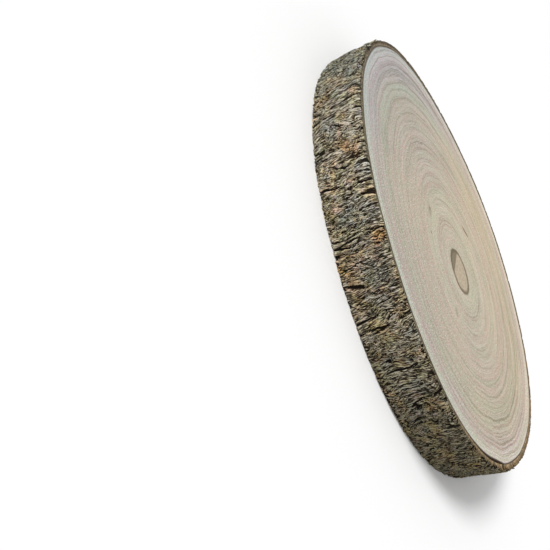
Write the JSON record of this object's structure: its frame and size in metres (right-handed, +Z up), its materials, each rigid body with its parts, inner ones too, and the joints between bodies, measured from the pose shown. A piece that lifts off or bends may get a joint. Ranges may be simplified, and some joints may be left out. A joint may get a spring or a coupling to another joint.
{
  "type": "wood slice",
  "caption": "Round slice of tree trunk with its bark on, sawn flat on both faces, for use as a trivet, stand, tray or craft blank.",
  "frame": {"origin": "middle of the slice's box, on the underside", "axes": "+Z up out of the pictured sawn face; +X along the slice's longest width"},
  "size_m": [0.2536, 0.2388, 0.026],
  "materials": {
    "sawn_wood": "dry sawn end grain, cream with thin brown growth rings, unvarnished",
    "bark": "rough dry bark, grey-brown with rusty and lichen-green patches"
  },
  "bodies": {
    "root": {"wood_slice": "sawn_wood"}
  },
  "joints": []
}
